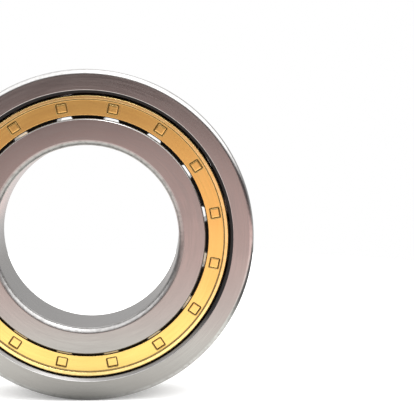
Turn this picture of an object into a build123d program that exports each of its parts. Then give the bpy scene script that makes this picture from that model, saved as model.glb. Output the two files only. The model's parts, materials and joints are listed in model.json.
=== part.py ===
from build123d import *
import math
import os

# Single-row cylindrical roller bearing, dimension series 02, with a 55 mm bore.
# The axis is Y and the origin is the middle of the bearing. The outer ring has two flanges,
# the inner ring has one, on the -Y side, and sixteen rollers run in a two-piece riveted cage.
# A point of a turned section is (radius, place along the axis).

# Boundary dimensions
BORE_DIAMETER = 55.0
OUTSIDE_DIAMETER = 100.0
WIDTH = 21.0
OUTSIDE_CORNER_RADIUS = 1.5
BORE_CORNER_RADIUS = 1.8

# Raceways and flanges
INNER_RACEWAY_DIAMETER = 66.0
OUTER_RACEWAY_DIAMETER = 90.0
INNER_FLANGE_DIAMETER = 71.0
OUTER_FLANGE_BORE = 86.0
OUTER_FLANGE_CHAMFER = 0.9
INNER_FLANGE_CHAMFER = 0.3
OPEN_SIDE_CHAMFER = 0.8
RELIEF_WIDTH = 0.6
RELIEF_DEPTH = 0.25

# Rollers
ROLLER_COUNT = 16
FIRST_ROLLER_ANGLE = 0.7
ROLLER_DIAMETER = 11.9
ROLLER_LENGTH = 13.0
ROLLER_CORNER_RADIUS = 0.4
ROLLER_END_PLAY = 0.1

# Cage: a comb of crossbars, and a cover ring that holds the tenons on their ends.
# The comb's back ring is the widest, and runs just inside the outer ring's back flange.
CAGE_OUTSIDE_DIAMETER = 84.8
BACK_RING_DIAMETER = 85.6
CAGE_INSIDE_DIAMETER = 72.5
CAGE_SETBACK = 0.5
CAGE_END_PLAY = 0.25
CAGE_EDGE_CHAMFER = 0.25
POCKET_CLEARANCE = 0.1
RIM_WIDTH = 1.1
RECESS_DEPTH = 1.0
RECESS_FILLET = 0.4
TENON_WIDTH = 3.1
TENON_HEIGHT = 2.8
TENON_PITCH_DIAMETER = 78.0
TENON_SETBACK = 0.6
TENON_CORNER_RADIUS = 0.25
TENON_HOLE_CHAMFER = 0.2

# Places worked out from the dimensions above
HALF_WIDTH = WIDTH / 2
ROLLER_STEP = 360 / ROLLER_COUNT
PITCH_RADIUS = (INNER_RACEWAY_DIAMETER + OUTER_RACEWAY_DIAMETER) / 4
HALF_TRACK = ROLLER_LENGTH / 2 + ROLLER_END_PLAY
HALF_POCKET = ROLLER_LENGTH / 2 + CAGE_END_PLAY
CAGE_HALF_WIDTH = HALF_WIDTH - CAGE_SETBACK
COVER_FACE = CAGE_HALF_WIDTH - RECESS_DEPTH
TENON_END = COVER_FACE - TENON_SETBACK
TOLERANCE = 0.01


def turned(section):
    """The solid that a closed section makes when it is turned about the bearing's axis."""
    return revolve(make_face(Polyline(*section, close=True)), Axis.Y, 360)


def rims(solid, diameter, *places):
    """The round edges of one diameter about the bearing's axis, at places along the axis."""

    def is_rim(edge):
        centre = edge.arc_center
        on_axis = math.hypot(centre.X, centre.Z) < TOLERANCE
        right_size = abs(edge.radius - diameter / 2) < TOLERANCE
        right_place = any(abs(centre.Y - place) < TOLERANCE for place in places)
        return on_axis and right_size and right_place

    return [edge for edge in solid.edges().filter_by(GeomType.CIRCLE) if is_rim(edge)]


def around(radius, step):
    """A place at a radius from the axis, some roller steps past the first roller, from +Z towards +X."""
    angle = FIRST_ROLLER_ANGLE + step * ROLLER_STEP
    turn = math.radians(angle)
    return Location((radius * math.sin(turn), 0, radius * math.cos(turn)), (0, angle, 0))


def axial_cylinder(diameter, length):
    """A cylinder along the bearing's axis, with its middle at the origin."""
    return Rot(90, 0, 0) * Cylinder(diameter / 2, length)


def tenon_block(end):
    """A tenon's block, centred on the bearing's axis, from the front of the pockets to an end place."""
    middle = Pos(0, -(HALF_POCKET + end) / 2, 0)
    return middle * Box(TENON_WIDTH, end - HALF_POCKET, TENON_HEIGHT)


def make_outer_ring():
    outside = OUTSIDE_DIAMETER / 2
    flange = OUTER_FLANGE_BORE / 2
    raceway = OUTER_RACEWAY_DIAMETER / 2
    relief = raceway + RELIEF_DEPTH
    relief_end = HALF_TRACK - RELIEF_WIDTH
    ring = turned(
        [
            (outside, -HALF_WIDTH),
            (outside, HALF_WIDTH),
            (flange, HALF_WIDTH),
            (flange, HALF_TRACK),
            (relief, HALF_TRACK),
            (relief, relief_end),
            (raceway, relief_end),
            (raceway, -relief_end),
            (relief, -relief_end),
            (relief, -HALF_TRACK),
            (flange, -HALF_TRACK),
            (flange, -HALF_WIDTH),
        ]
    )
    ring = chamfer(rims(ring, OUTER_FLANGE_BORE, -HALF_WIDTH, HALF_WIDTH), OUTER_FLANGE_CHAMFER)
    return fillet(rims(ring, OUTSIDE_DIAMETER, -HALF_WIDTH, HALF_WIDTH), OUTSIDE_CORNER_RADIUS)


def make_inner_ring():
    bore = BORE_DIAMETER / 2
    flange = INNER_FLANGE_DIAMETER / 2
    raceway = INNER_RACEWAY_DIAMETER / 2
    relief = raceway - RELIEF_DEPTH
    relief_end = HALF_TRACK - RELIEF_WIDTH
    ring = turned(
        [
            (bore, -HALF_WIDTH),
            (flange, -HALF_WIDTH),
            (flange, -HALF_TRACK),
            (relief, -HALF_TRACK),
            (relief, -relief_end),
            (raceway, -relief_end),
            (raceway, HALF_WIDTH),
            (bore, HALF_WIDTH),
        ]
    )
    ring = chamfer(rims(ring, INNER_FLANGE_DIAMETER, -HALF_WIDTH), INNER_FLANGE_CHAMFER)
    ring = chamfer(rims(ring, INNER_RACEWAY_DIAMETER, HALF_WIDTH), OPEN_SIDE_CHAMFER)
    return fillet(rims(ring, BORE_DIAMETER, -HALF_WIDTH, HALF_WIDTH), BORE_CORNER_RADIUS)


def make_roller():
    roller = axial_cylinder(ROLLER_DIAMETER, ROLLER_LENGTH)
    ends = rims(roller, ROLLER_DIAMETER, -ROLLER_LENGTH / 2, ROLLER_LENGTH / 2)
    return fillet(ends, ROLLER_CORNER_RADIUS)


def make_cage_comb():
    outside = CAGE_OUTSIDE_DIAMETER / 2
    back_ring = BACK_RING_DIAMETER / 2
    inside = CAGE_INSIDE_DIAMETER / 2
    comb = turned(
        [
            (inside, -HALF_POCKET),
            (outside, -HALF_POCKET),
            (outside, HALF_POCKET),
            (back_ring, HALF_POCKET),
            (back_ring, CAGE_HALF_WIDTH),
            (inside, CAGE_HALF_WIDTH),
        ]
    )
    comb = chamfer(rims(comb, BACK_RING_DIAMETER, CAGE_HALF_WIDTH), CAGE_EDGE_CHAMFER)
    comb = chamfer(rims(comb, CAGE_INSIDE_DIAMETER, CAGE_HALF_WIDTH), CAGE_EDGE_CHAMFER)
    pocket = axial_cylinder(ROLLER_DIAMETER + 2 * POCKET_CLEARANCE, 2 * HALF_POCKET)
    tenon = tenon_block(TENON_END)
    tenon = fillet(tenon.edges().group_by(Axis.Y)[0], TENON_CORNER_RADIUS)
    for index in range(ROLLER_COUNT):
        comb -= around(PITCH_RADIUS, index) * pocket
    for index in range(ROLLER_COUNT):
        comb += around(TENON_PITCH_DIAMETER / 2, index + 0.5) * tenon
    return comb


def make_cage_cover():
    outside = CAGE_OUTSIDE_DIAMETER / 2
    inside = CAGE_INSIDE_DIAMETER / 2
    rim = outside - RIM_WIDTH
    cover = turned(
        [
            (inside, -HALF_POCKET),
            (outside, -HALF_POCKET),
            (outside, -CAGE_HALF_WIDTH),
            (rim, -CAGE_HALF_WIDTH),
            (rim, -COVER_FACE),
            (inside, -COVER_FACE),
        ]
    )
    cover = fillet(rims(cover, 2 * rim, -COVER_FACE), RECESS_FILLET)
    cover = chamfer(rims(cover, CAGE_OUTSIDE_DIAMETER, -CAGE_HALF_WIDTH), CAGE_EDGE_CHAMFER)
    cover = chamfer(rims(cover, CAGE_INSIDE_DIAMETER, -COVER_FACE), CAGE_EDGE_CHAMFER)
    hole = tenon_block(COVER_FACE)
    for index in range(ROLLER_COUNT):
        cover -= around(TENON_PITCH_DIAMETER / 2, index + 0.5) * hole
    straight = cover.edges().filter_by(GeomType.LINE)
    mouths = straight.filter_by_position(Axis.Y, -COVER_FACE - TOLERANCE, -COVER_FACE + TOLERANCE)
    return chamfer(mouths, TENON_HOLE_CHAMFER)


def write(node, solid):
    solid.label = node
    export_step(solid, os.path.join("parts", node + ".step"))


def main():
    os.makedirs("parts", exist_ok=True)
    write("outer_ring", make_outer_ring())
    write("inner_ring", make_inner_ring())
    write("cage_comb", make_cage_comb())
    write("cage_cover", make_cage_cover())
    roller = make_roller()
    for index in range(ROLLER_COUNT):
        write(f"roller_{index + 1:02d}", around(PITCH_RADIUS, index) * roller)


main()
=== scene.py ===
import json
import math

import bmesh
import bpy
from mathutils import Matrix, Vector
from mathutils.geometry import delaunay_2d_cdt


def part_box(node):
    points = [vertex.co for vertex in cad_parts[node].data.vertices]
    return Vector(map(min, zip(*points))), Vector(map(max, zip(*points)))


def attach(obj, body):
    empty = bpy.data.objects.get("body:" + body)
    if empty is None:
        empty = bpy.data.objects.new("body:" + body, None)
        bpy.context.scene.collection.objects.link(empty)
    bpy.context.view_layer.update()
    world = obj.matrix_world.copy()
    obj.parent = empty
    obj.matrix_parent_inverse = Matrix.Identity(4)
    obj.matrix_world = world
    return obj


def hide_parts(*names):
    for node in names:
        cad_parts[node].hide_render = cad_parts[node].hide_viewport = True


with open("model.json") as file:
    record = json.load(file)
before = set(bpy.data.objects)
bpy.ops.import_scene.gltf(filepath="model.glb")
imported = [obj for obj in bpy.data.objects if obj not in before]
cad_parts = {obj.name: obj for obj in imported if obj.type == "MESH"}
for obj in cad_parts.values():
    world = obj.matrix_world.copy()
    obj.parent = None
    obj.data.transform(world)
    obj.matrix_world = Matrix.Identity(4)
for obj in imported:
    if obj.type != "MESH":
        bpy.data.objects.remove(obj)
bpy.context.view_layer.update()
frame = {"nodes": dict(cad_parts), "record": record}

# A cylindrical roller bearing: two steel rings, sixteen rollers, and a brass cage in two pieces.
# Its axis is Y, the flanged side of the inner ring faces -Y, and everything is in metres.
# An angle is about the axis, from +Z towards +X.

MM = 0.001

# Places read from the frame
mounts = {mount["name"]: mount for mount in frame["record"]["mounts"]}
ring_low, ring_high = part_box("outer_ring")
flange_low, flange_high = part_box("inner_ring")
cover_low, cover_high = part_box("cage_cover")
comb_low, comb_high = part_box("cage_comb")
roller_low, roller_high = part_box("roller_01")
roller_centre = (roller_low + roller_high) / 2
roller_names = sorted(name for name in frame["nodes"] if name.startswith("roller_"))

OUTSIDE_RADIUS = mounts["housing_seat"]["dims"]["r_mm"] * MM
BORE_RADIUS = mounts["shaft_bore"]["dims"]["r_mm"] * MM
HALF_WIDTH = ring_high.y
INNER_FLANGE_RADIUS = flange_high.z
CAGE_OUTSIDE_RADIUS = cover_high.z
BACK_RING_RADIUS = comb_high.z
CAGE_HALF_WIDTH = comb_high.y
HALF_POCKET = -cover_high.y
TENON_END = comb_low.y
ROLLER_COUNT = len(roller_names)
ROLLER_STEP = 2 * math.pi / ROLLER_COUNT
ROLLER_HALF_LENGTH = roller_high.y
ROLLER_RADIUS = (roller_high.z - roller_low.z) / 2
PITCH_RADIUS = math.hypot(roller_centre.x, roller_centre.z)
FIRST_ROLLER_ANGLE = math.atan2(roller_centre.x, roller_centre.z)

# Sizes inside the bearing, which the frame's boxes don't give
OUTSIDE_CORNER = 1.5 * MM
BORE_CORNER = 1.8 * MM
OUTER_RACEWAY_RADIUS = 45.0 * MM
OUTER_FLANGE_RADIUS = 43.0 * MM
# 0.15 mm less than the CAD has, so that no light comes through the gap round the cage
BACK_FLANGE_RADIUS = 42.85 * MM
INNER_RACEWAY_RADIUS = 33.0 * MM
HALF_TRACK = ROLLER_HALF_LENGTH + 0.1 * MM
RELIEF_WIDTH = 0.6 * MM
RELIEF_DEPTH = 0.25 * MM
OUTER_FLANGE_CHAMFER = 0.9 * MM
INNER_FLANGE_CHAMFER = 0.3 * MM
OPEN_SIDE_CHAMFER = 0.8 * MM
ROLLER_CORNER = 0.4 * MM
CAGE_INSIDE_RADIUS = 36.25 * MM
CAGE_CHAMFER = 0.25 * MM
POCKET_RADIUS = ROLLER_RADIUS + 0.1 * MM
RIM_RADIUS = CAGE_OUTSIDE_RADIUS - 1.1 * MM
COVER_FACE = -CAGE_HALF_WIDTH + 1.0 * MM
RECESS_FILLET = 0.4 * MM
TENON_RADIUS = 39.0 * MM
TENON_WIDTH = 3.1 * MM
TENON_HEIGHT = 2.8 * MM
TENON_CORNER = 0.3 * MM
TENON_ROUNDING = 0.3 * MM
TENON_GAP = 0.06 * MM
HOLE_CHAMFER = 0.2 * MM
BROKEN_EDGE = 0.08 * MM
FLANGE_EDGE = 0.25 * MM
TOLERANCE = 0.001 * MM

# How dull and dark surfaces are made, from 0 for ground or machined ones to 1 for dark ones inside the
# gaps. The dark is partly that of dull turned surfaces and partly painted shade in the gaps, in the cage's
# recess and holes, and on the roller ends.
DARK = 1.0
BORE_END_DULL = 0.45
ROLLER_BACK_DULL_AND_SHADE = 0.35
# Painted shade in the cage's recess fillet: how dark, and how fast it rises up the fillet.
RECESS_PAINTED_SHADE = 0.92
RECESS_SHADE_RISE = 4.0
# Painted shade on the chamfers and walls of the cage's tenon holes.
HOLE_PAINTED_SHADE = 0.75
# The outer ring's chamfers are painted lighter low down as a painted reflection: this dullness below the
# height that follows, fading to full dark over the distance after it.
CHAMFER_PAINTED_LIT_DULL = 0.55
CHAMFER_PAINTED_LIGHT_HEIGHT = -31.0 * MM
CHAMFER_PAINTED_LIGHT_FADE = 8.0 * MM
RIM_WEAR = 0.6

# Fineness of the meshes
RING_SEGMENTS = 288
ROLLER_SEGMENTS = 72
CORNER_STEPS = 5
WEB_STEPS = 5
POCKET_STEPS = 9
POCKET_WALL_STEPS = 10


# ---- Sections and meshes ----


def rounded(section, closed=True):
    """The points of a section with its corners rounded, each as (across, along, wear).

    A corner of the section is (across, along) when it is sharp, or (across, along, radius). Wear is 1
    within a rounded corner and 0 elsewhere.
    """
    points = []
    for index, corner in enumerate(section):
        at_end = not closed and index in (0, len(section) - 1)
        if len(corner) == 2 or at_end:
            points.append((corner[0], corner[1], 0.0))
            continue
        tip = Vector(corner[:2])
        before = (Vector(section[index - 1][:2]) - tip).normalized()
        after = (Vector(section[(index + 1) % len(section)][:2]) - tip).normalized()
        half_angle = before.angle(after) / 2
        centre = tip + (before + after).normalized() * corner[2] / math.sin(half_angle)
        start = tip + before * corner[2] / math.tan(half_angle) - centre
        end = tip + after * corner[2] / math.tan(half_angle) - centre
        for step in range(CORNER_STEPS + 1):
            spoke = start.slerp(end, step / CORNER_STEPS).normalized() * corner[2]
            wear = 0.0 if step in (0, CORNER_STEPS) else 1.0
            points.append((centre.x + spoke.x, centre.y + spoke.y, wear))
    return points


def polar(radius, angle, along, centre=(0.0, 0.0)):
    """A place at a radius and an angle about an axis along Y that goes through centre, which is (x, z)."""
    return Vector((centre[0] + radius * math.sin(angle), along, centre[1] + radius * math.cos(angle)))


def new_shape():
    """An empty bmesh, with the layers that mark worn edges, surfaces left dull as they were turned, and
    surfaces painted dark as shade.
    """
    shape = bmesh.new()
    shape.verts.layers.float.new("edge_wear")
    shape.verts.layers.float.new("turned_and_shade")
    return shape


def add_row(shape, places, wear):
    """New vertices at the places, all with one amount of edge wear."""
    layer = shape.verts.layers.float["edge_wear"]
    row = []
    for place in places:
        vertex = shape.verts.new(place)
        vertex[layer] = wear
        row.append(vertex)
    return row


def mark(shape, vertices, layer_name, amount):
    layer = shape.verts.layers.float[layer_name]
    for vertex in vertices:
        vertex[layer] = amount


def mark_turned_and_shade(shape, vertices, amount):
    mark(shape, vertices, "turned_and_shade", amount)


def join(shape, row, following):
    """Faces between two closed rows of as many vertices, or a fan where one of them is a single vertex."""
    for index in range(max(len(row), len(following))):
        corners = [row[index % len(row)], row[(index + 1) % len(row)]]
        corners += [following[(index + 1) % len(following)], following[index % len(following)]]
        shape.faces.new(list(dict.fromkeys(corners)))


def join_all(shape, rows, closed=False):
    pairs = list(zip(rows, rows[1:]))
    if closed:
        pairs.append((rows[-1], rows[0]))
    for row, following in pairs:
        join(shape, row, following)


def fill(shape, *loops):
    """Flat triangles inside the first loop of vertices and outside the others, its convex holes."""
    corners, edges, loop_of = [], [], []
    for number, loop in enumerate(loops):
        first = len(corners)
        corners += loop
        edges += [(first + index, first + (index + 1) % len(loop)) for index in range(len(loop))]
        loop_of += [number] * len(loop)
    flat = [Vector((vertex.co.x / MM, vertex.co.z / MM)) for vertex in corners]
    triangles_inside = 1
    found = delaunay_2d_cdt(flat, edges, [], triangles_inside, 1e-5)
    for triangle in found[2]:
        sources = [found[3][corner][0] for corner in triangle]
        owners = {loop_of[source] for source in sources}
        if len(owners) > 1 or owners == {0}:
            shape.faces.new([corners[source] for source in sources])


def turned_rows(shape, points, angles, centre=(0.0, 0.0)):
    """One row of vertices for each point of a section, turned through the angles."""
    rows = []
    for radius, along, wear in points:
        turns = angles if radius > 1e-9 else angles[:1]
        rows.append(add_row(shape, [polar(radius, angle, along, centre) for angle in turns], wear))
    return rows


def even_angles(count, start=0.0):
    return [start + 2 * math.pi * index / count for index in range(count)]


def rounded_rectangle(width, height, corner):
    """The outline of a rectangle with rounded corners, about its middle."""
    half_width, half_height = width / 2, height / 2
    section = [
        (-half_width, -half_height, corner),
        (half_width, -half_height, corner),
        (half_width, half_height, corner),
        (-half_width, half_height, corner),
    ]
    return [(across, up) for across, up, wear in rounded(section)]


def tenon_rows(shape, index, points):
    """Rows around the tenon after roller index, one for each point (growth of the outline, along, wear)."""
    angle = FIRST_ROLLER_ANGLE + (index + 0.5) * ROLLER_STEP
    middle = polar(TENON_RADIUS, angle, 0.0)
    outward = polar(1.0, angle, 0.0)
    sideways = polar(1.0, angle + math.pi / 2, 0.0)
    rows = []
    for growth, along, wear in points:
        outline = rounded_rectangle(
            TENON_WIDTH + 2 * growth, TENON_HEIGHT + 2 * growth, max(TENON_CORNER + growth, 0.05 * MM)
        )
        places = [middle + sideways * across + outward * up for across, up in outline]
        rows.append(add_row(shape, [place + Vector((0, along, 0)) for place in places], wear))
    return rows


def finish_piece(node, shape, body, material):
    """Makes the piece that stands for a node from its bmesh, and puts it on its body."""
    name = node + "_detailed"
    bmesh.ops.recalc_face_normals(shape, faces=shape.faces)
    mesh = bpy.data.meshes.new(name)
    shape.to_mesh(mesh)
    shape.free()
    mesh.shade_smooth()
    mesh.set_sharp_from_angle(angle=math.radians(35))
    mesh.materials.append(material)
    piece = bpy.data.objects.new(name, mesh)
    bpy.context.scene.collection.objects.link(piece)
    normals = piece.modifiers.new("even_normals", "WEIGHTED_NORMAL")
    normals.keep_sharp = True
    normals.weight = 90
    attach(piece, body)
    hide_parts(node)
    return piece


# ---- Materials ----


class Nodes:
    """A material's or world's node tree, with one short call for each node."""

    def __init__(self, tree):
        self.tree = tree
        self.tree.nodes.clear()

    def add(self, kind, inputs=None, **settings):
        node = self.tree.nodes.new(kind)
        for name, value in settings.items():
            setattr(node, name, value)
        for key, value in (inputs or {}).items():
            if isinstance(value, bpy.types.NodeSocket):
                self.tree.links.new(value, node.inputs[key])
            else:
                node.inputs[key].default_value = value
        return node

    def math(self, operation, first, second=0.0):
        return self.add("ShaderNodeMath", {0: first, 1: second}, operation=operation).outputs[0]

    def vector_math(self, operation, inputs):
        return self.add("ShaderNodeVectorMath", inputs, operation=operation)

    def spread(self, value, low, high, to_low, to_high):
        """A value from low to high, moved to to_low to to_high and kept between them."""
        inputs = {"Value": value, "From Min": low, "From Max": high, "To Min": to_low, "To Max": to_high}
        return self.add("ShaderNodeMapRange", inputs, interpolation_type="SMOOTHSTEP").outputs["Result"]

    def mix(self, factor, first, second, blend_type="MIX"):
        inputs = {"Factor": factor, 6: first, 7: second}
        node = self.add("ShaderNodeMix", inputs, data_type="RGBA", blend_type=blend_type)
        return node.outputs[2]

    def share(self, value, lowest):
        """A value from lowest to 1, as a share from 0 to 1."""
        return self.add("ShaderNodeMapRange", {"Value": value, "From Min": lowest}).outputs["Result"]

    def ramp(self, share, stops, lowest):
        """Colours blended between the stops, whose places go from lowest to 1."""
        node = self.add("ShaderNodeValToRGB", {"Fac": share})
        elements = node.color_ramp.elements
        while len(elements) < len(stops):
            elements.new(0.5)
        for element, (place, colour) in zip(elements, stops):
            element.position = (place - lowest) / (1 - lowest)
            element.color = colour
        return node.outputs["Color"]

    def noise(self, vector, scale, detail=4.0, w=None):
        inputs = {"Vector": vector, "Scale": scale, "Detail": detail}
        if w is not None:
            inputs["W"] = w
        dimensions = "3D" if w is None else "4D"
        return self.add("ShaderNodeTexNoise", inputs, noise_dimensions=dimensions).outputs["Fac"]


class TurnedGrain:
    """Noise whose marks run round the bearing's axis, as turning and grinding leave them."""

    def __init__(self, nodes):
        self.nodes = nodes
        self.place = nodes.add("ShaderNodeTexCoord").outputs["Object"]
        self.along = nodes.add("ShaderNodeSeparateXYZ", {0: self.place}).outputs["Y"]
        across = nodes.vector_math("MULTIPLY", {0: self.place, 1: (1.0, 0.0, 1.0)}).outputs["Vector"]
        self.radius = nodes.vector_math("LENGTH", {0: across}).outputs["Value"]
        spoke = nodes.vector_math("NORMALIZE", {0: across}).outputs["Vector"]
        self.spoke = nodes.add("ShaderNodeSeparateXYZ", {0: spoke})

    def lines(self, per_mm, around, detail=3.0):
        """Fine marks across the surface, about per_mm to a millimetre, that fade around the axis."""
        nodes = self.nodes
        inputs = {
            0: nodes.math("MULTIPLY", self.radius, per_mm / MM),
            1: nodes.math("MULTIPLY", self.spoke.outputs["X"], around),
            2: nodes.math("MULTIPLY", self.spoke.outputs["Z"], around),
        }
        vector = nodes.add("ShaderNodeCombineXYZ", inputs).outputs[0]
        along = nodes.math("MULTIPLY", self.along, per_mm / MM)
        return nodes.noise(vector, 1.0, detail, along)


def principled(nodes, **inputs):
    named = {name.replace("_", " "): value for name, value in inputs.items()}
    shader = nodes.add("ShaderNodeBsdfPrincipled", named)
    nodes.add("ShaderNodeOutputMaterial", {"Surface": shader.outputs["BSDF"]})
    return shader


def metal(name, light, dark, worn, turned_and_shade_colour, roughness, grain, bump):
    """A machined metal: turning marks, soft stains, dark dull surfaces, and edges rubbed bright. The dark
    dull surfaces are partly turned surfaces and partly painted shade in gaps, recesses and holes.

    light, dark and worn are colours, and so is the colour given to the dark dull surfaces. roughness is
    (finest, coarsest), grain is (marks to a millimetre, how often they break off around the axis), and bump
    is the depth of the marks in metres.
    """
    material = bpy.data.materials.new(name)
    material.use_nodes = True
    nodes = Nodes(material.node_tree)
    grain_lines = TurnedGrain(nodes)
    fine = grain_lines.lines(*grain)
    coarse = grain_lines.lines(grain[0] / 4, grain[1] / 3)
    stains = nodes.noise(grain_lines.place, STAIN_SCALE, 2.0)
    freckles = nodes.noise(grain_lines.place, FRECKLE_SCALE, 3.0)
    # This attribute marks surfaces left dull as turned and surfaces painted dark as shade in gaps, recesses
    # and holes.
    turned_and_shade = nodes.add("ShaderNodeAttribute", attribute_name="turned_and_shade").outputs["Fac"]
    wear = nodes.add("ShaderNodeAttribute", attribute_name="edge_wear").outputs["Fac"]
    wear = nodes.math("MULTIPLY", wear, nodes.math("SUBTRACT", 1.0, turned_and_shade))
    wear = nodes.math("MULTIPLY", wear, nodes.spread(freckles, 0.3, 0.6, 0.4, 1.0))

    colour = nodes.mix(nodes.spread(stains, 0.35, 0.7, 0.0, 0.5), light, dark)
    colour = nodes.mix(nodes.spread(fine, 0.3, 0.7, 0.0, 0.35), colour, dark)
    colour = nodes.mix(turned_and_shade, colour, turned_and_shade_colour)
    colour = nodes.mix(wear, colour, worn)
    smooth, rough = roughness
    base = nodes.spread(nodes.math("ADD", fine, coarse), 0.7, 1.3, smooth, rough)
    stained = nodes.math("ADD", base, nodes.spread(stains, 0.45, 0.75, 0.0, 0.01))
    dulled = nodes.math("ADD", stained, nodes.math("MULTIPLY", turned_and_shade, 0.3))
    final_roughness = nodes.math("SUBTRACT", dulled, nodes.math("MULTIPLY", wear, smooth * 0.3))
    height = nodes.math("ADD", fine, nodes.math("MULTIPLY", freckles, 0.05))
    normal = nodes.add("ShaderNodeBump", {"Height": height, "Strength": 1.0, "Distance": bump})
    # Marked surfaces turn from metal to dark non-metal: oxide on turned surfaces, and painted shade in the
    # gaps.
    oxide_and_shade = nodes.spread(turned_and_shade, 0.5, 1.0, 0.0, 1.0)
    principled(
        nodes,
        Base_Color=colour,
        Metallic=nodes.math("SUBTRACT", 1.0, oxide_and_shade),
        Roughness=final_roughness,
        Specular_IOR_Level=nodes.spread(oxide_and_shade, 0.0, 1.0, 0.5, 0.1),
        Normal=normal.outputs["Normal"],
    )
    return material


STAIN_SCALE = 60.0
FRECKLE_SCALE = 900.0

# The turned colours below are near black: for dull turned surfaces and for painted shade in gaps, recesses
# and holes.
STEEL_LIGHT = (0.37, 0.36, 0.35, 1)
STEEL_DARK = (0.33, 0.318, 0.312, 1)
STEEL_WORN = (0.50, 0.495, 0.49, 1)
STEEL_TURNED_AND_SHADE = (0.022, 0.022, 0.024, 1)
BRASS_LIGHT = (0.87, 0.61, 0.20, 1)
BRASS_DARK = (0.80, 0.52, 0.15, 1)
BRASS_WORN = (1.0, 0.80, 0.40, 1)
BRASS_TURNED_AND_SHADE = (0.10, 0.06, 0.02, 1)

steel_colours = {
    "light": STEEL_LIGHT,
    "dark": STEEL_DARK,
    "worn": STEEL_WORN,
    "turned_and_shade_colour": STEEL_TURNED_AND_SHADE,
}
brass_colours = {
    "light": BRASS_LIGHT,
    "dark": BRASS_DARK,
    "worn": BRASS_WORN,
    "turned_and_shade_colour": BRASS_TURNED_AND_SHADE,
}
ground_steel = metal(
    "ground_steel", **steel_colours, roughness=(0.17, 0.26), grain=(9.0, 9.0), bump=0.0003 * MM
)
roller_steel = metal(
    "roller_steel", **steel_colours, roughness=(0.10, 0.20), grain=(9.0, 9.0), bump=0.0003 * MM
)
machined_brass = metal(
    "machined_brass", **brass_colours, roughness=(0.18, 0.27), grain=(6.0, 4.0), bump=0.001 * MM
)


# ---- The rings ----


def make_ring(name, section, dull):
    """A ring from its section. dull takes a radius, a distance along the axis, a wear and a height, and
    gives how dull and dark that place is made, partly as painted shade.
    """
    shape = new_shape()
    points = rounded(section)
    rows = turned_rows(shape, points, even_angles(RING_SEGMENTS))
    join_all(shape, rows, closed=True)
    turned_and_shade = shape.verts.layers.float["turned_and_shade"]
    for row, (radius, along, wear) in zip(rows, points):
        for vertex in row:
            vertex[turned_and_shade] = dull(radius, abs(along), wear, vertex.co.z)
    return finish_piece(name, shape, name, ground_steel)


def outer_ring_half(flange_radius):
    relief = OUTER_RACEWAY_RADIUS + RELIEF_DEPTH
    relief_end = HALF_TRACK - RELIEF_WIDTH
    return [
        (OUTSIDE_RADIUS, -HALF_WIDTH, OUTSIDE_CORNER),
        (flange_radius + OUTER_FLANGE_CHAMFER, -HALF_WIDTH, FLANGE_EDGE),
        (flange_radius, -HALF_WIDTH + OUTER_FLANGE_CHAMFER, FLANGE_EDGE),
        (flange_radius, -HALF_TRACK, BROKEN_EDGE),
        (relief, -HALF_TRACK),
        (relief, -relief_end),
        (OUTER_RACEWAY_RADIUS, -relief_end, BROKEN_EDGE),
    ]


def outer_ring_section():
    front = outer_ring_half(OUTER_FLANGE_RADIUS)
    back = reversed(outer_ring_half(BACK_FLANGE_RADIUS))
    return front + [(corner[0], -corner[1], *corner[2:]) for corner in back]


def inner_ring_section():
    relief = INNER_RACEWAY_RADIUS - RELIEF_DEPTH
    relief_end = HALF_TRACK - RELIEF_WIDTH
    return [
        (BORE_RADIUS, -HALF_WIDTH, BORE_CORNER),
        (INNER_FLANGE_RADIUS - INNER_FLANGE_CHAMFER, -HALF_WIDTH, BROKEN_EDGE),
        (INNER_FLANGE_RADIUS, -HALF_WIDTH + INNER_FLANGE_CHAMFER, BROKEN_EDGE),
        (INNER_FLANGE_RADIUS, -HALF_TRACK, BROKEN_EDGE),
        (relief, -HALF_TRACK),
        (relief, -relief_end),
        (INNER_RACEWAY_RADIUS, -relief_end, BROKEN_EDGE),
        (INNER_RACEWAY_RADIUS, HALF_WIDTH - OPEN_SIDE_CHAMFER, BROKEN_EDGE),
        (INNER_RACEWAY_RADIUS - OPEN_SIDE_CHAMFER, HALF_WIDTH, BROKEN_EDGE),
        (BORE_RADIUS, HALF_WIDTH, BORE_CORNER),
    ]


def outer_ring_dull_and_shade(radius, along, wear, height):
    """How dull and dark the outer ring is: its flange bores and chamfers are dark, except at their rubbed
    edges. That dark is partly dull turned steel and partly painted shade inside the gap.

    The chamfers are painted lighter low down, as a painted reflection. The height is the ring's own, so
    they stay so when it turns.
    """
    on_face = along > HALF_WIDTH - TOLERANCE
    if on_face or along < HALF_TRACK or radius > OUTER_FLANGE_RADIUS + OUTER_FLANGE_CHAMFER:
        return 0.0
    on_chamfer = radius > OUTER_FLANGE_RADIUS + TOLERANCE and along > HALF_WIDTH - OUTER_FLANGE_CHAMFER
    rise = min(max((height - CHAMFER_PAINTED_LIGHT_HEIGHT) / CHAMFER_PAINTED_LIGHT_FADE, 0.0), 1.0)
    chamfer_dull = CHAMFER_PAINTED_LIT_DULL + (DARK - CHAMFER_PAINTED_LIT_DULL) * rise
    return (chamfer_dull if on_chamfer else DARK) * (1.0 - wear)


def inner_ring_dull_and_shade(radius, along, wear, _height):
    """How dull and dark the inner ring is: its flange rim is dark, partly dull turned steel and partly
    painted shade inside the gap, and the ends of its bore are half bright.
    """
    if radius > INNER_FLANGE_RADIUS - INNER_FLANGE_CHAMFER + BROKEN_EDGE:
        return 1.0 - wear
    in_rounding = radius < BORE_RADIUS + BORE_CORNER - BROKEN_EDGE
    at_bore_end = in_rounding and along > HALF_WIDTH - BORE_CORNER + BROKEN_EDGE
    return BORE_END_DULL if at_bore_end else 0.0


# ---- The rollers ----


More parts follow.
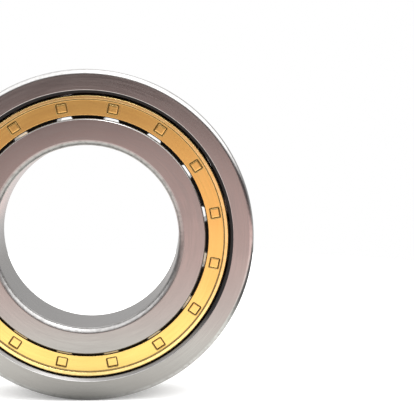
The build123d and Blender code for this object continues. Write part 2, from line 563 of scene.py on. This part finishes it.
def make_roller(index, name):
    centre_angle = FIRST_ROLLER_ANGLE + index * ROLLER_STEP
    place = polar(PITCH_RADIUS, centre_angle, 0.0)
    section = [
        (0.0, -ROLLER_HALF_LENGTH),
        (ROLLER_RADIUS, -ROLLER_HALF_LENGTH, ROLLER_CORNER),
        (ROLLER_RADIUS, ROLLER_HALF_LENGTH, ROLLER_CORNER),
        (0.0, ROLLER_HALF_LENGTH),
    ]
    shape = new_shape()
    points = rounded(section, closed=False)
    rows = turned_rows(shape, points, even_angles(ROLLER_SEGMENTS), (place.x, place.z))
    join_all(shape, rows)
    # The roller's front end face is painted dark as shade in the gap; the back end face is made a little
    # dull and dark, partly as painted shade.
    mark_turned_and_shade(shape, rows[0] + rows[1], DARK)
    mark_turned_and_shade(shape, rows[-2] + rows[-1], ROLLER_BACK_DULL_AND_SHADE)
    return finish_piece(name, shape, name, roller_steel)


# ---- The cage ----


def sector(outside_row, inside_row, index):
    """The loop round the flat face from roller index to the next, between two rows of a turned shape."""
    steps = RING_SEGMENTS // ROLLER_COUNT
    places = [(index * steps + step) % RING_SEGMENTS for step in range(steps + 1)]
    return [outside_row[place] for place in places] + [inside_row[place] for place in reversed(places)]


def make_cage_cover():
    """The front ring of the cage: a raised rim, a filleted recess and a chamfered hole for each tenon."""
    shape = new_shape()
    angles = even_angles(RING_SEGMENTS, FIRST_ROLLER_ANGLE)
    front_edge = -CAGE_HALF_WIDTH
    outside = rounded(
        [
            (RIM_RADIUS - RECESS_FILLET - BROKEN_EDGE, COVER_FACE),
            (RIM_RADIUS, COVER_FACE, RECESS_FILLET),
            (RIM_RADIUS, front_edge, BROKEN_EDGE),
            (CAGE_OUTSIDE_RADIUS - CAGE_CHAMFER, front_edge, BROKEN_EDGE),
            (CAGE_OUTSIDE_RADIUS, front_edge + CAGE_CHAMFER, BROKEN_EDGE),
            (CAGE_OUTSIDE_RADIUS, -HALF_POCKET),
        ],
        closed=False,
    )
    inside = rounded(
        [
            (CAGE_INSIDE_RADIUS, -HALF_POCKET),
            (CAGE_INSIDE_RADIUS, COVER_FACE + CAGE_CHAMFER, BROKEN_EDGE),
            (CAGE_INSIDE_RADIUS + CAGE_CHAMFER, COVER_FACE, BROKEN_EDGE),
            (CAGE_INSIDE_RADIUS + 2 * CAGE_CHAMFER, COVER_FACE),
        ],
        closed=False,
    )
    outside_rows = turned_rows(shape, outside, angles)
    inside_rows = turned_rows(shape, inside, angles)
    join_all(shape, outside_rows)
    join_all(shape, inside_rows)
    # The recess fillet is painted darker as it rises to the rim, as painted shade, and the cover's outside
    # in the gap is painted dark as shade. The rim's front face is worn.
    for row, (radius, along, wear) in zip(outside_rows, outside):
        up_the_fillet = (radius - RIM_RADIUS + RECESS_FILLET) / RECESS_FILLET
        if radius < RIM_RADIUS + TOLERANCE:
            mark_turned_and_shade(shape, row, min(max(RECESS_SHADE_RISE * up_the_fillet, 0.0), RECESS_PAINTED_SHADE))
        elif along > front_edge + CAGE_CHAMFER:
            mark_turned_and_shade(shape, row, DARK)
        elif along < front_edge + TOLERANCE:
            mark(shape, row, "edge_wear", RIM_WEAR)
    hole = rounded(
        [
            (HOLE_CHAMFER + BROKEN_EDGE, COVER_FACE),
            (HOLE_CHAMFER, COVER_FACE, BROKEN_EDGE),
            (0.0, COVER_FACE + HOLE_CHAMFER, BROKEN_EDGE),
            (0.0, -HALF_POCKET),
        ],
        closed=False,
    )
    for index in range(ROLLER_COUNT):
        rows = tenon_rows(shape, index, hole)
        join_all(shape, rows)
        # The hole's chamfer and walls are painted dark as shade round each tenon.
        for row in rows[2:]:
            mark_turned_and_shade(shape, row, HOLE_PAINTED_SHADE)
        fill(shape, sector(outside_rows[0], inside_rows[-1], index), rows[0])
        fill(shape, sector(outside_rows[-1], inside_rows[0], index), rows[-1])
    return finish_piece("cage_cover", shape, "cage", machined_brass)


def pocket_corner(radius):
    """The angle from a roller's middle to where its pocket meets a radius of the cage."""
    cosine = (radius**2 + PITCH_RADIUS**2 - POCKET_RADIUS**2) / (2 * radius * PITCH_RADIUS)
    return math.acos(cosine)


def arc(radius, start, end, steps, along):
    """Places on an arc about the bearing's axis, both ends included."""
    return [polar(radius, start + (end - start) * step / steps, along) for step in range(steps + 1)]


def pocket_wall(index, side, along):
    """Places down one wall of roller index's pocket, from the outside in. side is 1 for later angles."""
    middle = FIRST_ROLLER_ANGLE + index * ROLLER_STEP
    centre = polar(PITCH_RADIUS, middle, along)
    radii = (CAGE_OUTSIDE_RADIUS, CAGE_INSIDE_RADIUS)
    start, end = [polar(radius, middle + side * pocket_corner(radius), along) - centre for radius in radii]
    places = []
    for step in range(POCKET_WALL_STEPS + 1):
        spoke = start.slerp(end, step / POCKET_WALL_STEPS).normalized()
        places.append(centre + spoke * POCKET_RADIUS)
    return places


def crossbar_outline(index, along):
    """The outline of the crossbar after roller index: outside arc, wall, inside arc and wall."""
    before = FIRST_ROLLER_ANGLE + index * ROLLER_STEP
    after = before + ROLLER_STEP
    outer, inner = pocket_corner(CAGE_OUTSIDE_RADIUS), pocket_corner(CAGE_INSIDE_RADIUS)
    outside = arc(CAGE_OUTSIDE_RADIUS, before + outer, after - outer, WEB_STEPS, along)
    down = pocket_wall(index + 1, -1, along)
    inside = arc(CAGE_INSIDE_RADIUS, after - inner, before + inner, WEB_STEPS, along)
    up = list(reversed(pocket_wall(index, 1, along)))
    return outside + down[1:-1] + inside + up[1:-1]


def make_cage_comb():
    """The back ring of the cage with its crossbars, and a tenon on the front of each."""
    shape = new_shape()
    outer, inner = pocket_corner(CAGE_OUTSIDE_RADIUS), pocket_corner(CAGE_INSIDE_RADIUS)
    web = WEB_STEPS + 1
    inside_start = web + POCKET_WALL_STEPS - 1
    tenon = rounded(
        [
            (-TENON_GAP, -HALF_POCKET),
            (-TENON_GAP, TENON_END, TENON_ROUNDING),
            (-TENON_GAP - 2 * TENON_ROUNDING, TENON_END),
        ],
        closed=False,
    )
    roots = []
    for index in range(ROLLER_COUNT):
        front = add_row(shape, crossbar_outline(index, -HALF_POCKET), 0.0)
        root = add_row(shape, crossbar_outline(index, HALF_POCKET), 0.0)
        join(shape, front, root)
        rows = tenon_rows(shape, index, tenon)
        join_all(shape, rows)
        fill(shape, front, rows[0])
        fill(shape, rows[-1])
        roots.append(root)

    outside_row, inside_row = [], []
    for index in range(ROLLER_COUNT):
        root, following = roots[index], roots[(index + 1) % ROLLER_COUNT]
        middle = FIRST_ROLLER_ANGLE + (index + 1) * ROLLER_STEP
        outside_gap = arc(CAGE_OUTSIDE_RADIUS, middle - outer, middle + outer, POCKET_STEPS, HALF_POCKET)
        inside_gap = arc(CAGE_INSIDE_RADIUS, middle - inner, middle + inner, POCKET_STEPS, HALF_POCKET)
        outside_gap = add_row(shape, outside_gap[1:-1], 0.0)
        inside_gap = add_row(shape, inside_gap[1:-1], 0.0)
        outside_row += root[:web] + outside_gap
        inside_row += list(reversed(root[inside_start : inside_start + web])) + inside_gap
        near_wall = root[web - 1 : inside_start + 1]
        far_wall = following[inside_start + web - 1 :] + following[:1]
        way_back = [far_wall[::-1], inside_gap[::-1], near_wall[::-1]]
        fill(shape, outside_gap + [vertex for side in way_back for vertex in side])

    rows = [outside_row]
    outside_angles = [math.atan2(vertex.co.x, vertex.co.z) for vertex in outside_row]
    inside_angles = [math.atan2(vertex.co.x, vertex.co.z) for vertex in inside_row]
    edge = BACK_RING_RADIUS - CAGE_CHAMFER
    lip = CAGE_INSIDE_RADIUS + CAGE_CHAMFER
    outside = rounded(
        [
            (CAGE_OUTSIDE_RADIUS, HALF_POCKET),
            (BACK_RING_RADIUS, HALF_POCKET, BROKEN_EDGE),
            (BACK_RING_RADIUS, CAGE_HALF_WIDTH - CAGE_CHAMFER, BROKEN_EDGE),
            (edge, CAGE_HALF_WIDTH, BROKEN_EDGE),
            (edge - CAGE_CHAMFER, CAGE_HALF_WIDTH),
        ],
        closed=False,
    )
    inside = rounded(
        [
            (lip + CAGE_CHAMFER, CAGE_HALF_WIDTH),
            (lip, CAGE_HALF_WIDTH, BROKEN_EDGE),
            (CAGE_INSIDE_RADIUS, CAGE_HALF_WIDTH - CAGE_CHAMFER, BROKEN_EDGE),
            (CAGE_INSIDE_RADIUS, HALF_POCKET),
        ],
        closed=False,
    )
    rows += turned_rows(shape, outside[1:], outside_angles)
    rows += turned_rows(shape, inside[:-1], inside_angles)
    rows.append(inside_row)
    join_all(shape, rows)
    # The comb's outside in the gap round the cage is painted dark as shade.
    painted_shade_in_gap = [
        vertex
        for vertex in shape.verts
        if math.hypot(vertex.co.x, vertex.co.z) > CAGE_OUTSIDE_RADIUS - BROKEN_EDGE
    ]
    mark_turned_and_shade(shape, painted_shade_in_gap, DARK)
    return finish_piece("cage_comb", shape, "cage", machined_brass)


make_ring("outer_ring", outer_ring_section(), outer_ring_dull_and_shade)
make_ring("inner_ring", inner_ring_section(), inner_ring_dull_and_shade)
for roller_index, roller_name in enumerate(roller_names):
    make_roller(roller_index, roller_name)
make_cage_comb()
make_cage_cover()


# ---- The table, the light and the camera ----

TABLE_RADIUS = 0.3
TABLE_SEGMENTS = 96

# What the metal sees of the table, at shares of its radius: the table glows for it though it is no lamp, as
# painted light with a painted contact shadow. Dim at the contact, then bright, then pink
TABLE_GLOW = [
    (0.03, (0.04, 0.04, 0.04, 1)),
    (0.09, (0.90, 0.90, 0.86, 1)),
    (0.14, (1.20, 1.19, 1.13, 1)),
    (0.22, (1.50, 1.50, 1.42, 1)),
    (0.29, (1.72, 1.75, 1.65, 1)),
    (0.45, (1.60, 1.42, 1.35, 1)),
    (1.00, (1.50, 1.08, 1.02, 1)),
]
# A painted dark patch on the table's glow to the right of the bearing, standing for shade there.
TABLE_SIDE_PAINTED_SHADE = (0.20, 0.20, 0.20, 1)

WHITE = (1.0, 1.0, 1.0, 1)
BLACK = (0.0, 0.0, 0.0, 1)
TABLE_EMISSION = 0.27
CONTACT = (-0.003, 0.003, ring_low.z)

# What the metal reflects, from the floor in front (-1) up to the softbox overhead (1): the sine of the
# height in the sky, and the light from there
FRONT_ROOM = [
    (-0.20, (1.40, 1.30, 1.25, 1)),
    (-0.14, (1.50, 1.04, 0.99, 1)),
    (-0.09, (1.52, 1.02, 0.94, 1)),
    (-0.045, (0.62, 0.44, 0.42, 1)),
    (-0.01, (0.46, 0.38, 0.37, 1)),
    (0.03, (0.12, 0.10, 0.10, 1)),
    (0.24, (0.10, 0.09, 0.09, 1)),
    (0.36, (1.50, 1.48, 1.47, 1)),
    (0.50, (3.00, 3.00, 3.00, 1)),
]
BACK_ROOM = [
    (-0.20, (0.90, 0.90, 0.90, 1)),
    (-0.05, (0.60, 0.59, 0.58, 1)),
    (0.10, (0.60, 0.60, 0.60, 1)),
    (0.40, (0.70, 0.69, 0.68, 1)),
    (0.78, (1.60, 1.60, 1.60, 1)),
]
LOWEST = -0.25

SOFTBOX_PLACE = Vector((0.15, -0.2, 0.85))
SOFTBOX_SIZE = 0.35
SOFTBOX_POWER = 2.5

CAMERA_PLACE = (0.0266, -0.3313, 0.0437)
CAMERA_DIRECTION = Vector((0.0288, 0.9939, -0.1071))
CAMERA_LENS = 94.1


def make_table():
    """A pale disc under the bearing. Past its edge the background is as white as it is. The camera sees it
    lit; the metal sees it as a glowing sheet of painted light, with a painted contact shadow and a painted
    dark patch to the right.
    """
    shape = new_shape()
    points = [(0.0, ring_low.z, 0.0), (TABLE_RADIUS, ring_low.z, 0.0)]
    rows = []
    for radius, height, wear in points:
        turns = even_angles(TABLE_SEGMENTS) if radius else [0.0]
        places = [Vector((radius * math.sin(turn), radius * math.cos(turn), height)) for turn in turns]
        rows.append(add_row(shape, places, wear))
    join_all(shape, rows)
    for face in shape.faces:
        if face.normal.z < 0:
            face.normal_flip()
    mesh = bpy.data.meshes.new("table")
    shape.to_mesh(mesh)
    shape.free()
    material = bpy.data.materials.new("white_table")
    material.use_nodes = True
    nodes = Nodes(material.node_tree)
    place = nodes.add("ShaderNodeTexCoord").outputs["Object"]
    shade = nodes.mix(nodes.noise(place, 30.0), (0.86, 0.86, 0.86, 1), (0.9, 0.9, 0.89, 1))
    finish = {
        "Base Color": shade,
        "Roughness": 0.6,
        "Emission Color": WHITE,
        "Emission Strength": TABLE_EMISSION,
    }
    pale = nodes.add("ShaderNodeBsdfPrincipled", finish)
    distance = nodes.vector_math("DISTANCE", {0: place, 1: CONTACT}).outputs["Value"]
    glow = nodes.ramp(nodes.math("DIVIDE", distance, TABLE_RADIUS), TABLE_GLOW, 0.0)
    parts = nodes.add("ShaderNodeSeparateXYZ", {0: place})
    # The glow is painted dark to the right of the bearing, as shade.
    rightward = nodes.spread(parts.outputs["X"], 0.05, 0.10, 0.0, 1.0)
    beside = nodes.math("MULTIPLY", rightward, nodes.spread(parts.outputs["Y"], -0.10, -0.05, 0.0, 1.0))
    glow = nodes.mix(beside, glow, TABLE_SIDE_PAINTED_SHADE)
    reflected = nodes.add("ShaderNodeEmission", {"Color": glow, "Strength": 1.0})
    seen = nodes.add("ShaderNodeLightPath").outputs["Is Camera Ray"]
    either = nodes.add("ShaderNodeMixShader", {0: seen, 1: reflected.outputs[0], 2: pale.outputs[0]})
    nodes.add("ShaderNodeOutputMaterial", {"Surface": either.outputs[0]})
    mesh.materials.append(material)
    table = bpy.data.objects.new("table", mesh)
    bpy.context.scene.collection.objects.link(table)


def make_surroundings():
    """A white background for the camera. What the metal reflects is a dim room under a large softbox."""
    world = bpy.data.worlds.new("studio")
    bpy.context.scene.world = world
    world.use_nodes = True
    nodes = Nodes(world.node_tree)
    direction = nodes.add("ShaderNodeTexCoord").outputs["Generated"]
    parts = nodes.add("ShaderNodeSeparateXYZ", {0: direction})
    height = parts.outputs["Z"]
    depth = parts.outputs["Y"]
    front = nodes.ramp(nodes.share(height, LOWEST), FRONT_ROOM, LOWEST)
    back = nodes.ramp(nodes.share(height, LOWEST), BACK_ROOM, LOWEST)
    leftward = nodes.spread(parts.outputs["X"], -0.12, -0.02, 0.28, 0.0)
    front = nodes.mix(leftward, front, BLACK)
    room = nodes.mix(nodes.spread(depth, -0.3, 0.5, 0.0, 1.0), front, back)
    seen = nodes.add("ShaderNodeLightPath").outputs["Is Camera Ray"]
    colour = nodes.mix(seen, room, WHITE)
    background = nodes.add("ShaderNodeBackground", {"Color": colour, "Strength": 1.0})
    nodes.add("ShaderNodeOutputWorld", {"Surface": background.outputs[0]})


def make_softbox():
    """One large round light, up and to the right, aimed at the bearing's middle."""
    lamp = bpy.data.lights.new("softbox", "AREA")
    lamp.shape = "DISK"
    lamp.size = SOFTBOX_SIZE
    lamp.energy = SOFTBOX_POWER
    softbox = bpy.data.objects.new("softbox", lamp)
    softbox.location = SOFTBOX_PLACE
    softbox.rotation_euler = (-SOFTBOX_PLACE).to_track_quat("-Z", "Y").to_euler()
    bpy.context.scene.collection.objects.link(softbox)


def make_camera():
    lens = bpy.data.cameras.new("camera")
    lens.sensor_width = 36.0
    lens.lens = CAMERA_LENS
    lens.clip_start = 0.01
    camera = bpy.data.objects.new("camera", lens)
    camera.location = CAMERA_PLACE
    camera.rotation_euler = CAMERA_DIRECTION.to_track_quat("-Z", "Y").to_euler()
    bpy.context.scene.collection.objects.link(camera)
    bpy.context.scene.camera = camera


make_table()
make_surroundings()
make_softbox()
make_camera()
bpy.context.scene.view_settings.view_transform = "Standard"
